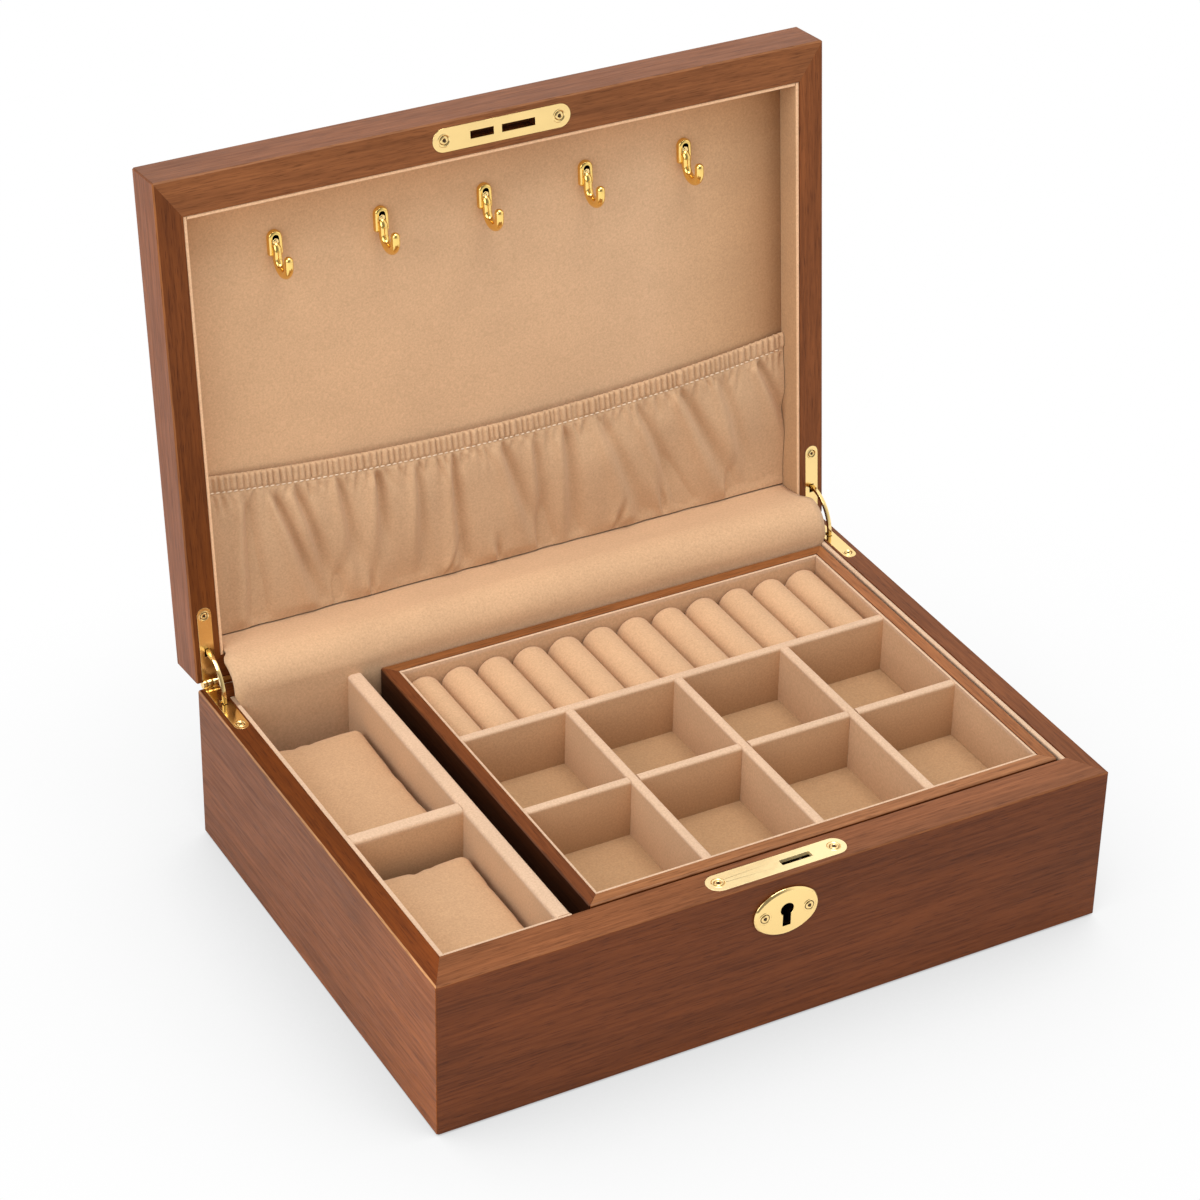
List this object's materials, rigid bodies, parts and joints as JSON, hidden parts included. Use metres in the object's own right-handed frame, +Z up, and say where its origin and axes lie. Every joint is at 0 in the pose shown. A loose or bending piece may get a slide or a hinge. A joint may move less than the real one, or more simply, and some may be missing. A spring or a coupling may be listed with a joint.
{
  "type": "wooden jewelry box",
  "caption": "Walnut jewelry box with a hinged lid, brass lock and stay hinges, a lift-out tray of ring rolls and cells, watch pillows, necklace hooks and a gathered lid pocket.",
  "frame": {"origin": "centre of the underside, on the surface that the box stands on", "axes": "+Z up, the front with the keyhole faces -Y, +X to the right as seen from the front, with the lid open"},
  "size_m": [0.29, 0.2536, 0.282],
  "materials": {
    "walnut": "satin lacquer over walnut",
    "inner_board": "plain board",
    "suede": "tan suede cloth on board",
    "padded_suede": "tan suede cloth over padding",
    "felt": "dark felt",
    "polished_brass": "polished",
    "lock_steel": "plain"
  },
  "bodies": {
    "base": {"base_back": "walnut", "base_felt": "felt", "base_floor": "inner_board", "base_front": "walnut", "base_left": "walnut", "base_right": "walnut", "bay_divider": "suede", "bay_partition": "suede", "hinge_base_leaf_left": "polished_brass", "hinge_base_leaf_right": "polished_brass", "hinge_pins": "polished_brass", "hinge_roll": "padded_suede", "keyhole_plate": "polished_brass", "lining_back": "suede", "lining_floor": "suede", "lining_front": "suede", "lining_left": "suede", "lining_right": "suede", "lock_case": "lock_steel", "lock_plate": "polished_brass", "tray_ledge_back": "inner_board", "tray_ledge_front": "inner_board"},
    "lid": {"hinge_lid_leaf_left": "polished_brass", "hinge_lid_leaf_right": "polished_brass", "lid_back": "walnut", "lid_board": "suede", "lid_front": "walnut", "lid_left": "walnut", "lid_lining_front": "suede", "lid_lining_left": "suede", "lid_lining_right": "suede", "lid_pocket": "padded_suede", "lid_right": "walnut", "lid_top": "walnut", "necklace_hooks": "polished_brass", "strike_plate": "polished_brass"},
    "hinge_arm_left": {"hinge_arm_left": "polished_brass"},
    "hinge_arm_right": {"hinge_arm_right": "polished_brass"},
    "lock_hook": {"lock_hook": "lock_steel"},
    "tray": {"column_dividers": "suede", "ring_divider": "suede", "ring_rolls": "padded_suede", "row_divider": "suede", "tray_back": "walnut", "tray_floor": "inner_board", "tray_front": "walnut", "tray_left": "walnut", "tray_lining": "suede", "tray_right": "walnut"},
    "pillow_rear": {"watch_pillow_rear": "padded_suede"},
    "pillow_front": {"watch_pillow_front": "padded_suede"}
  },
  "joints": [
    {"name": "lid_hinge", "type": "hinge", "parent": "base", "child": "lid", "pos_m": [0, 0.107, 0.0699], "axis": [1, 0, 0], "range_deg": [0, 95.3], "deforming": ["hinge_roll"]},
    {"name": "stay_arm_left", "type": "hinge", "parent": "base", "child": "hinge_arm_left", "pos_m": [0, 0.107, 0.0699], "axis": [1, 0, 0], "range_deg": [0, 47.65]},
    {"name": "stay_arm_right", "type": "hinge", "parent": "base", "child": "hinge_arm_right", "pos_m": [0, 0.107, 0.0699], "axis": [1, 0, 0], "range_deg": [0, 47.65]},
    {"name": "lock_hook_turn", "type": "hinge", "parent": "base", "child": "lock_hook", "pos_m": [0.0005, -0.09825, 0.0618], "axis": [0, -1, 0], "range_deg": [0, 74]},
    {"name": "tray_lift", "type": "slide", "parent": "base", "child": "tray", "axis": [0, 0, 1], "range_m": [0, 0.06]},
    {"name": "pillow_rear_lift", "type": "slide", "parent": "base", "child": "pillow_rear", "axis": [0, 0, 1], "range_m": [0, 0.09]},
    {"name": "pillow_front_lift", "type": "slide", "parent": "base", "child": "pillow_front", "axis": [0, 0, 1], "range_m": [0, 0.09]}
  ],
  "couplings": [
    {"joint": "stay_arm_left", "follows": "lid_hinge", "ratio": 0.5},
    {"joint": "stay_arm_right", "follows": "lid_hinge", "ratio": 0.5}
  ]
}
